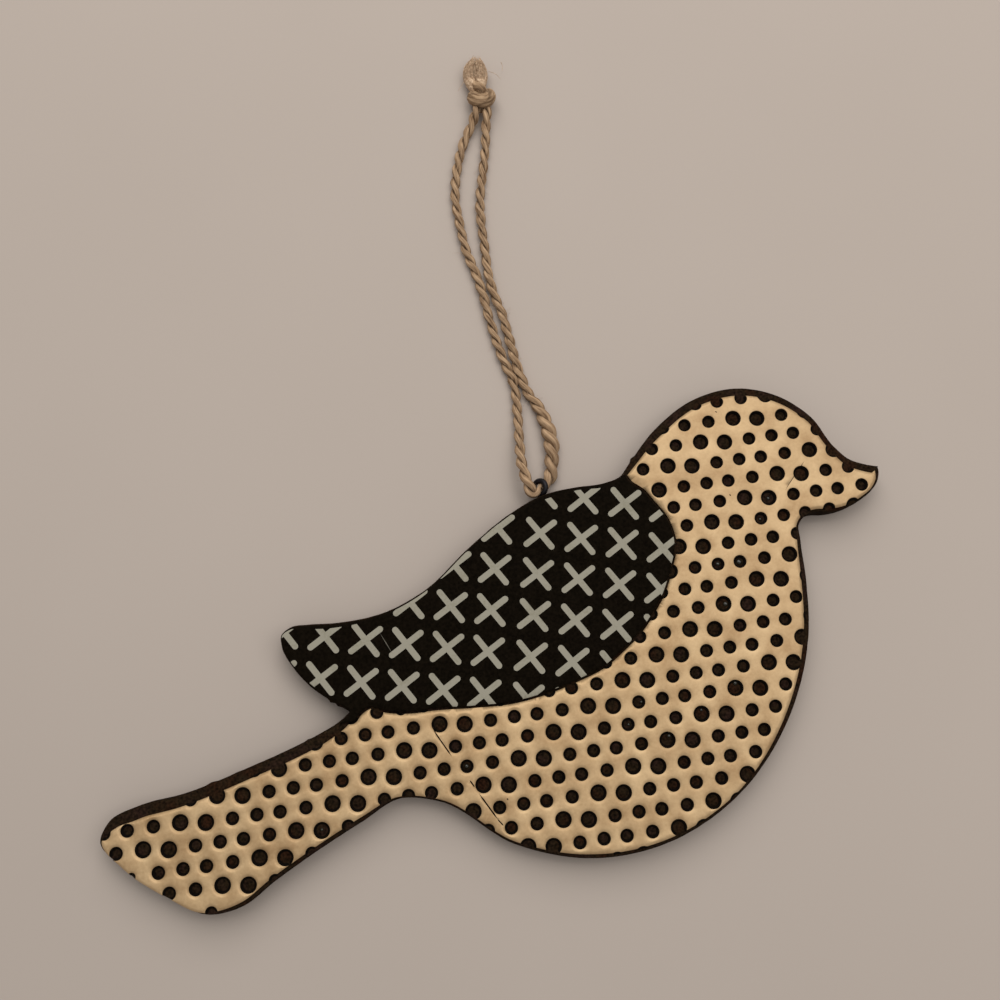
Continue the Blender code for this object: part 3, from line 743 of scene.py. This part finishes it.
# Both strands from the eye to the knot: right of the ring's top wire, above it, and lifted off the floor.
LEFT_STRAND = (
    (-1.25, -2.45, 2.7), (-1.8, -1.3, 2.9), (-2.5, 0.7, 2.6), (-3.0, 2.9, 2.05), (-3.3, 7.0, 0.9),
    (-3.5, 10.7, 0.2), (-3.7, 13.73, 0.0), (-4.25, 17.53, 0.0), (-6.1, 21.93, 0.0), (-8.7, 29.93, 0.0),
    (-9.7, 33.93, 0.0), (-11.0, 37.83, 0.0), (-12.7, 42.03, 0.0), (-13.9, 47.03, 0.0), (-14.8, 52.43, 0.0),
    (-14.4, 58.53, 0.0), (-13.15, 63.53, 0.1), (-11.7, 66.83, 0.5),
)
RIGHT_STRAND = (
    (1.5, -0.35, 0.4), (2.05, 0.5, 0.3), (2.25, 1.6, 0.3), (2.35, 3.4, 0.4), (2.4, 5.3, 0.4),
    (2.1, 7.7, 0.4), (1.4, 10.1, 0.3), (0.25, 12.83, 0.1), (-1.6, 15.53, 0.0), (-3.25, 19.43, 0.0),
    (-5.35, 26.93, 0.0), (-6.4, 30.63, 0.0), (-7.8, 34.13, 0.0), (-8.7, 37.53, 0.0), (-9.4, 42.53, 0.0),
    (-10.3, 52.23, 0.0), (-9.8, 57.43, 0.0), (-9.35, 62.33, 0.1), (-9.25, 66.53, 0.5),
)
ROUTE_STEPS = 12
WRAP_TURNS = (-90, -135)
WRAP_SLACK = 0.3
STRAND_SPREAD, ROOT_GAP = 2.1, 0.3
LEFT_IN_KNOT, RIGHT_IN_KNOT = (-0.6, -1.2, -0.3), (0.6, -1.2, -0.3)
pivot = np.array((shank_end[0], eye_high[1] - EYE_WIRE / 2, board_top / 2))
wrap_radius = EYE_WIRE / 2 + WRAP_SLACK + TWINE_IN_EYE / 2
knot_low, knot_high = np.array(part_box("twine_knot")) / MM
knot_middle = (knot_low + knot_high) / 2
knot_reach = (knot_high[1] - knot_low[1]) / 2 + ROOT_GAP


def lie(point):
    """A strand's point, from its place beside the ring's top wire and its lift off the floor."""
    return (pivot[0] + point[0], pivot[1] + point[1], TWINE / 2 + FLOOR_GAP + point[2])


wrap = []
for turn in WRAP_TURNS:
    lean = math.cos(math.radians(turn)) * ring_normal + math.sin(math.radians(turn)) * upward
    wrap.append(ring_middle + upward * ring_radius + wrap_radius * lean)
left_root = knot_middle - upward * knot_reach - (STRAND_SPREAD / 2, 0, 0)
right_root = knot_middle - upward * knot_reach + (STRAND_SPREAD / 2, 0, 0)
route = [knot_middle + LEFT_IN_KNOT, left_root] + [lie(point) for point in reversed(LEFT_STRAND)]
route += wrap + [lie(point) for point in RIGHT_STRAND] + [right_root, knot_middle + RIGHT_IN_KNOT]
route = np.array(smooth(route, ROUTE_STEPS) + [tuple(route[-1])])

# The twine's width by its distance from the ring, and the stretch of the right strand that swells most.
SWELL = ((0.6, 1.25), (1.2, 1.9), (2.2, 2.1), (6, 1.85), (14, 1.75))
BULGE, BULGE_RIGHT_OF, BULGE_AT = 0.9, 4, 35
BULGE_ACROSS, BULGE_ALONG = 2.5, 6.5
WIDTH_UNEVENNESS, WIDTH_WAVE = 0.12, 4
# The plies as shares of the twine's width, and the lay that winds them round each other.
PLY_RADIUS, PLY_OFFSET, PLY_UNEVENNESS = 0.285, 0.215, 0.025
LAY_LENGTH, LAY_WANDER = 5.2, 0.35
PLY_SIDES, PLY_STEP = 16, 0.22
# Painted shade between the plies: points nearer the twine's middle than the first share of its width
# darken, fully at the second share nearer.
PLY_SHADE_EDGE, PLY_SHADE_FADE = 0.34, 0.1


def even(path, spacing):
    """The path with its points at an even spacing."""
    lengths = np.concatenate(([0], np.cumsum(np.linalg.norm(np.diff(path, axis=0), axis=1))))
    marks = np.linspace(0, lengths[-1], int(lengths[-1] / spacing) + 2)
    return np.array([np.interp(marks, lengths, path[:, axis]) for axis in range(3)]).T, marks


def swell(path):
    """The twine's width: full where it is slack beside the eye, squeezed in the ring, even above."""
    from_ring = np.linalg.norm(path - ring_middle, axis=1)
    width = np.interp(from_ring, *zip(*SWELL))
    slack_side = np.clip((path[:, 0] - BULGE_RIGHT_OF) / BULGE_ACROSS, 0, 1)
    slack_side *= np.exp(-((path[:, 1] - BULGE_AT) / BULGE_ALONG) ** 2)
    uneven = np.array([WIDTH_UNEVENNESS * ripple(*point, WIDTH_WAVE) for point in path])
    return width + BULGE * slack_side + uneven


def two_ply(path, seed):
    """Points and faces of twine along a path, its texture places and the depths between its plies, which
    set the painted shade there.
    """
    path, marks = even(path, PLY_STEP)
    sides, uppers = frames(path)[1:]
    width = swell(path)
    points, faces, strips, crevice_shade = [], [], [], []
    for ply in range(2):
        turn = -2 * math.pi * marks / LAY_LENGTH + math.pi * ply
        turn = turn + LAY_WANDER * np.array([ripple(mark, ply + seed, 0, 4) for mark in marks])
        uneven = PLY_UNEVENNESS * np.array([ripple(mark, 7 + ply, seed, 3) for mark in marks])
        offset = np.cos(turn)[:, None] * sides + np.sin(turn)[:, None] * uppers
        centre = path + offset * PLY_OFFSET * width[:, None]
        around = np.arange(PLY_SIDES) * 2 * math.pi / PLY_SIDES
        ridges = np.cos(5 * around[None] + 2.6 * marks[:, None]) * 0.06
        ridges += np.cos(3 * around[None] - 1.7 * marks[:, None] + seed) * 0.05
        made, sheets = swept(centre, (width * (PLY_RADIUS + uneven))[:, None] * (1 + ridges))
        from_core = np.linalg.norm(made - np.repeat(path, PLY_SIDES, axis=0), axis=1)
        from_core /= np.repeat(width, PLY_SIDES)
        crevice_shade += list(np.clip((PLY_SHADE_EDGE - from_core) / PLY_SHADE_FADE, 0, 1))
        made[:, 2] = np.maximum(made[:, 2], FLOOR_REST)
        faces += [tuple(len(points) + k for k in face) for face in sheets]
        points += list(made)
        strips += [(mark, ply + k / PLY_SIDES) for mark in marks for k in range(PLY_SIDES)]
    return points, faces, strips, crevice_shade


def with_strips(piece, strips, crevice_shade):
    """Store each point's place along and round the twine, and its depth for painted shade, as two UV maps.
    """
    layers = [piece.data.uv_layers.new(name=name) for name in ("along_and_round", "in_valley")]
    for loop in piece.data.loops:
        layers[0].data[loop.index].uv = strips[loop.vertex_index]
        layers[1].data[loop.index].uv = (crevice_shade[loop.vertex_index], 0)


# Raw jute: dull golden-brown bast fibre, streaked along its length, with no gloss; painted shade darkens it
# between the plies.
# Its pattern is measured in millimetres along a ply and in turns round it.
STREAK_LENGTH, STREAKS_ROUND = 2.0, 9.0
raw_jute, tree, shader = new_material("raw_jute_yarn")[:3]
strip = add_node(tree, "ShaderNodeUVMap", {}, uv_map="along_and_round")
stretched = add_node(
    tree, "ShaderNodeMapping",
    {"Vector": strip.outputs["UV"], "Scale": (1 / STREAK_LENGTH, STREAKS_ROUND, 1.0)})
streak = add_node(
    tree, "ShaderNodeTexNoise", {"Vector": stretched.outputs["Vector"], "Scale": 1.0, "Detail": 5.0})
tint = add_node(
    tree, "ShaderNodeValToRGB", {"Fac": streak.outputs["Fac"]}, stops=((0.3, "#62472f"), (0.68, "#bf9f7d")))
# Painted shade: the colour is mixed towards dark brown by how deep each point lies between the plies or in
# a crevice of the knot.
crevice_shade_map = add_node(tree, "ShaderNodeUVMap", {}, uv_map="in_valley")
depth = add_node(tree, "ShaderNodeSeparateXYZ", {"Vector": crevice_shade_map.outputs["UV"]})
shaded = add_node(
    tree, "ShaderNodeMix",
    {"Factor": depth.outputs["X"], "A": tint.outputs["Color"], "B": colour("#2c1a0c")}, data_type="RGBA")
relief = add_node(
    tree, "ShaderNodeBump", {"Height": streak.outputs["Fac"], "Strength": 0.5, "Distance": 0.08 * MM})
feed(tree, shader, {
    "Base Color": shaded.outputs["Result"], "Normal": relief.outputs["Normal"],
    "Roughness": 0.9, "Specular IOR Level": 0.2})

points, faces, strips, crevice_shade = two_ply(route, 1)
twine_loop = finished("jute_twine_loop", points, faces, [raw_jute], crease=80)
with_strips(twine_loop, strips, crevice_shade)

# Loose fibres along the twine, drawn 0.044 mm thick, and not the 0.02 mm of a real one, so that they show.
FIBRE, FIBRE_TIP = 0.022, 0.5
FIBRE_FLOOR = 0.06
FUZZ_HAIRS = 320
FUZZ_SHORTEST, FUZZ_LONGEST, FUZZ_CURL = 0.8, 2.6, 0.3
FUZZ_ROOT, FUZZ_SPACING, FUZZ_CLEAR = 0.5, 0.5, 4

# Loose jute: single dry fibres, straw-coloured and paler than the yarn, with no gloss.
loose_jute, tree, shader, place = new_material("loose_jute_fibre")
shade = add_node(tree, "ShaderNodeTexNoise", {"Vector": place, "Scale": per_mm(0.4)})
tint = add_node(
    tree, "ShaderNodeValToRGB", {"Fac": shade.outputs["Fac"]}, stops=((0.3, "#967659"), (0.7, "#dabd9c")))
feed(tree, shader, {"Base Color": tint.outputs["Color"], "Roughness": 0.85})
chance = random.Random(7)


def fibres(routes, radius, sides=3):
    """Thin tapering hairs along the routes, as one list of points and faces."""
    points, faces = [], []
    for hair in routes:
        hair = np.array(hair)
        hair[:, 2] = np.maximum(hair[:, 2], FIBRE_FLOOR)
        taper = np.linspace(1, FIBRE_TIP, len(hair))[:, None] * np.full((1, sides), radius)
        made, sheets = swept(hair, taper)
        faces += [tuple(len(points) + k for k in face) for face in sheets]
        points += list(made)
    return points, faces


even_route, route_marks = even(route, FUZZ_SPACING)
tangents, sides, uppers = frames(even_route)
hairs = []
for k in range(FUZZ_HAIRS):
    at = chance.randrange(FUZZ_CLEAR, len(even_route) - FUZZ_CLEAR)
    turn = chance.uniform(0, 2 * math.pi)
    out = math.cos(turn) * sides[at] + math.sin(turn) * uppers[at]
    ahead = tangents[at] * chance.choice((-1, 1))
    length = chance.uniform(FUZZ_SHORTEST, FUZZ_LONGEST)
    curl = np.array([chance.uniform(-FUZZ_CURL, FUZZ_CURL) for axis in range(3)])
    start = even_route[at] + out * FUZZ_ROOT
    hairs.append([
        start, start + 0.35 * length * (ahead + 0.25 * out),
        start + 0.7 * length * (ahead + 0.35 * out + 0.5 * curl),
        start + length * (0.9 * ahead + 0.4 * out + curl)])
points, faces = fibres(hairs, FIBRE)
twine_fuzz = finished("jute_loose_fibres", points, faces, [loose_jute], crease=180)

# Knot. Both strands together are tied in one overhand knot and pulled into one thick soft rope: it rises
# through the knot, turns down on the right, crosses the front, passes round the back and leaves at the top.
KNOT_ROUTE = (
    (0.0, -2.1, -0.3), (-0.1, -0.9, -0.6), (0.5, 0.6, -0.9), (1.3, 1.05, -0.35), (1.5, 0.2, 0.4),
    (0.95, -0.75, 0.8), (-0.15, -0.9, 0.9), (-1.15, -0.35, 0.55), (-1.5, 0.5, -0.3), (-0.7, 0.95, -0.8),
    (0.25, 1.15, 0.0), (-0.1, 1.75, 0.5), (-0.9, 2.3, 0.3), (-1.1, 3.0, 0.0),
)
KNOT_WIDTHS = (1.6, 1.9, 1.9, 2.2, 2.5, 2.5, 2.2, 1.9, 1.7, 1.6)
ROPE_SIDES, ROPE_STEP, ROPE_LAY = 32, 0.15, 0.9
# The last value is how deep a crevice in the rope must be for its painted shade to be full.
ROPE_UNEVENNESS, ROPE_LUMP, ROPE_SHADE_DEPTH = 0.05, 1.1, 0.12
CURVE_STEPS = 8


def rope(path, widths, seed):
    """Points and faces of a thick bundle of fibres along a path, with its texture places and the depths of
    its crevices for painted shade.
    """
    path, marks = even(path, ROPE_STEP)
    around = np.arange(ROPE_SIDES) * 2 * math.pi / ROPE_SIDES
    laid = around[None] + ROPE_LAY * marks[:, None]
    ridges = 0.05 * np.cos(2 * laid) + 0.03 * np.cos(7 * laid + seed) + 0.025 * np.cos(11 * laid - 2 * seed)
    ridges += ROPE_UNEVENNESS * np.array([
        [ripple(mark, 2 * math.cos(turn), 2 * math.sin(turn) + seed, ROPE_LUMP) for turn in around]
        for mark in marks])
    width = np.interp(np.linspace(0, 1, len(path)), np.linspace(0, 1, len(widths)), widths)
    points, faces = swept(path, width[:, None] / 2 * (1 + ridges))
    strips = [(mark, 2 * k / ROPE_SIDES) for mark in marks for k in range(ROPE_SIDES)]
    crevice_shade = np.clip(-ridges.ravel() / ROPE_SHADE_DEPTH, 0, 1)
    points[:, 2] = np.maximum(points[:, 2], FLOOR_REST)
    return points, faces, strips, crevice_shade


knot_path = knot_middle + np.array(smooth(KNOT_ROUTE, CURVE_STEPS) + [KNOT_ROUTE[-1]])
points, faces, strips, crevice_shade = rope(knot_path, KNOT_WIDTHS, 3)
twine_knot = finished("jute_overhand_knot", points, faces, [raw_jute], crease=80)
with_strips(twine_knot, strips, crevice_shade)

# Cut ends. The two ends of the twine stand out above the knot, where their plies have come unlaid and
# frayed. They lie so close that they look like one soft tuft, with a few stray fibres beside it.
TUFT_RISE = (1.5, 4.2, 6.0, 7.2, 7.8)
TUFT_LEAN = (-0.7, -1.1, -1.15, -1.05, -1.0)
TUFT_APART = (0.6, 1.05, 0.9, 0.6, 0.45)
TUFT_WIDTH = (1.4, 2.3, 2.0, 1.35, 0.8)
TUFT_SINK, TUFT_CORE = 0.05, 0.9
TUFT_HAIRS, HAIR_STEPS = 240, 4
FRINGE_FIBRE, STRAY_FIBRE, FRINGE_SIDES = 0.04, 0.05, 4
STRAYS = (
    ((1.4, 5.6), (3.6, 4.25)), ((3.6, 7.5), (3.85, 5.85)), ((-0.1, 6.6), (-0.1, 7.9)),
    ((-1.75, 6.6), (-2.2, 8.5)), ((-3.0, 3.8), (-4.3, 1.8)),
)
ends = []
for name, side, seed in (("twine_end_left", -1, 21), ("twine_end_right", 1, 22)):
    stem = [
        knot_middle + (lean + side * apart, rise, -TUFT_SINK * rise)
        for rise, lean, apart in zip(TUFT_RISE, TUFT_LEAN, TUFT_APART)]
    stem = np.array(smooth(stem, CURVE_STEPS) + [tuple(stem[-1])])
    points, faces = rope(stem, np.array(TUFT_WIDTH) * TUFT_CORE, seed)[:2]
    frayed = finished("jute_frayed_" + name.split("_")[-1], points, faces, [loose_jute], crease=80)
    stem_tangents, stem_sides, stem_uppers = frames(stem)
    hairs = []
    for k in range(TUFT_HAIRS):
        turn = chance.uniform(0, 2 * math.pi)
        first = max(0, chance.uniform(-0.25, 0.75))
        last = min(chance.uniform(0.95, 1.12), first + chance.uniform(0.3, 0.7))
        hair = []
        for step in range(HAIR_STEPS + 1):
            share = first + (last - first) * step / HAIR_STEPS
            at = min(share, 1) * (len(stem) - 1)
            middle = np.array([np.interp(at, np.arange(len(stem)), stem[:, axis]) for axis in range(3)])
            out = math.cos(turn) * stem_sides[int(at)] + math.sin(turn) * stem_uppers[int(at)]
            reach = np.interp(share, np.linspace(0, 1, len(TUFT_WIDTH)), TUFT_WIDTH) / 2
            reach *= TUFT_CORE + 0.07 * step
            beyond = 0.3 * step / HAIR_STEPS + 6 * max(0, share - 1)
            hair.append(middle + reach * out + beyond * stem_tangents[int(at)])
            turn += chance.uniform(-0.12, 0.12)
        hairs.append(smooth(hair, 2) + [tuple(hair[-1])])
    points, faces = fibres(hairs, FRINGE_FIBRE, FRINGE_SIDES)
    fringe = finished("jute_fringe_" + name.split("_")[-1], points, faces, [loose_jute], crease=180)
    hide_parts(name)
    ends += [frayed, fringe]
hairs = []
for start, end in STRAYS:
    start, end = knot_middle + (*start, -0.2), knot_middle + (*end, -0.5)
    bend = (start + end) / 2 + (0.15, 0.2, 0.1)
    hairs.append(smooth([start, bend, end], 4) + [tuple(end)])
points, faces = fibres(hairs, STRAY_FIBRE, FRINGE_SIDES)
ends.append(finished("jute_stray_fibres", points, faces, [loose_jute], crease=180))

for piece in [twine_knot] + ends:
    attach(piece, "hanger")
# The twine loop and its loose fibres are attached to no body; their placing is baked into their points.
for piece in (twine_loop, twine_fuzz):
    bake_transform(piece)
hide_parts("twine_loop")
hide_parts("twine_knot")

# Floor. A plain sheet of pale card that the ornament lies on, so large that its edges are out of the
# picture.
HALF_FLOOR = 3000
floor = finished(
    "floor", [(x * HALF_FLOOR, y * HALF_FLOOR, 0) for x, y in ((-1, -1), (1, -1), (1, 1), (-1, 1))],
    [(0, 1, 2, 3)], [])

# Uncoated card: a matt warm grey with the faintest mottle.
floor_card, tree, shader, place = new_material("warm_grey_card")
mottle = add_node(tree, "ShaderNodeTexNoise", {"Vector": place, "Scale": per_mm(60), "Detail": 2.0})
tint = add_node(
    tree, "ShaderNodeValToRGB", {"Fac": mottle.outputs["Fac"]}, stops=((0, "#b2a59a"), (1, "#b7aa9f")))
feed(tree, shader, {"Base Color": tint.outputs["Color"], "Roughness": 0.9, "Specular IOR Level": 0.1})
floor.data.materials.append(floor_card)

# Light. One large soft box beyond the bird's back, like a window, a weak one on the right, like a pale
# wall, and an even light from the room.
def soft_box(name, at, side, watts, aim):
    """A square soft light that looks at the aim point."""
    lamp = bpy.data.lights.new(name, "AREA")
    lamp.shape = "SQUARE"
    lamp.size = side
    lamp.energy = watts
    holder = bpy.data.objects.new(name, lamp)
    holder.location = at
    holder.rotation_euler = (Vector(aim) - Vector(at)).to_track_quat("-Z", "Y").to_euler()
    bpy.context.scene.collection.objects.link(holder)


soft_box("window_light", at=(-0.05, 0.38, 0.48), side=0.60, watts=2.75, aim=(0, 0, 0))
soft_box("wall_light", at=(0.28, 0.05, 0.50), side=0.35, watts=0.75, aim=(0, 0, 0))
world = bpy.data.worlds.new("plain_room")
bpy.context.scene.world = world
world.use_nodes = True
feed(world.node_tree, world.node_tree.nodes["Background"], {"Color": (1, 1, 1, 1), "Strength": 0.375})
bpy.context.scene.view_settings.view_transform = "Standard"

# Camera. Held close above the ornament, over a point a little below the bird's middle, and tilted
# slightly so that the whole twine is in view.
camera = bpy.data.cameras.new("portrait")
camera.lens = 39.6
camera.sensor_width = 36
camera.clip_start = 0.01
holder = bpy.data.objects.new("portrait", camera)
holder.location = (-2.87 * MM, -8.39 * MM, 188.6 * MM)
holder.rotation_euler = (math.radians(9.86), math.radians(-0.773), 0)
bpy.context.scene.collection.objects.link(holder)
bpy.context.scene.camera = holder

bpy.context.view_layer.update()
